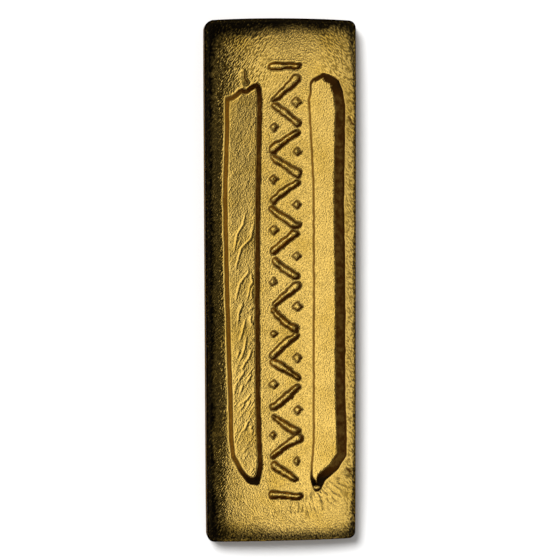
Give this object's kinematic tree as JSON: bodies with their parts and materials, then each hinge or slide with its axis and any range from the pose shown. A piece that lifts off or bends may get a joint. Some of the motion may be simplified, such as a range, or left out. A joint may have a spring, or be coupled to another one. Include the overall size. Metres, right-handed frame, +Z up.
{
  "type": "metal ingot",
  "caption": "Slim cast gold bar with a cushioned face, long sunk panels with cut corners and a punched zigzag band, lying flat on its plain back.",
  "frame": {"origin": "middle of the flat back, on the surface that the bar lies on", "axes": "+X across the bar, +Y along it towards its bowed end, +Z up out of its decorated face"},
  "size_m": [0.0122, 0.0418, 0.0036],
  "materials": {
    "gold": "satin"
  },
  "bodies": {
    "root": {"ingot": "gold"}
  },
  "joints": []
}
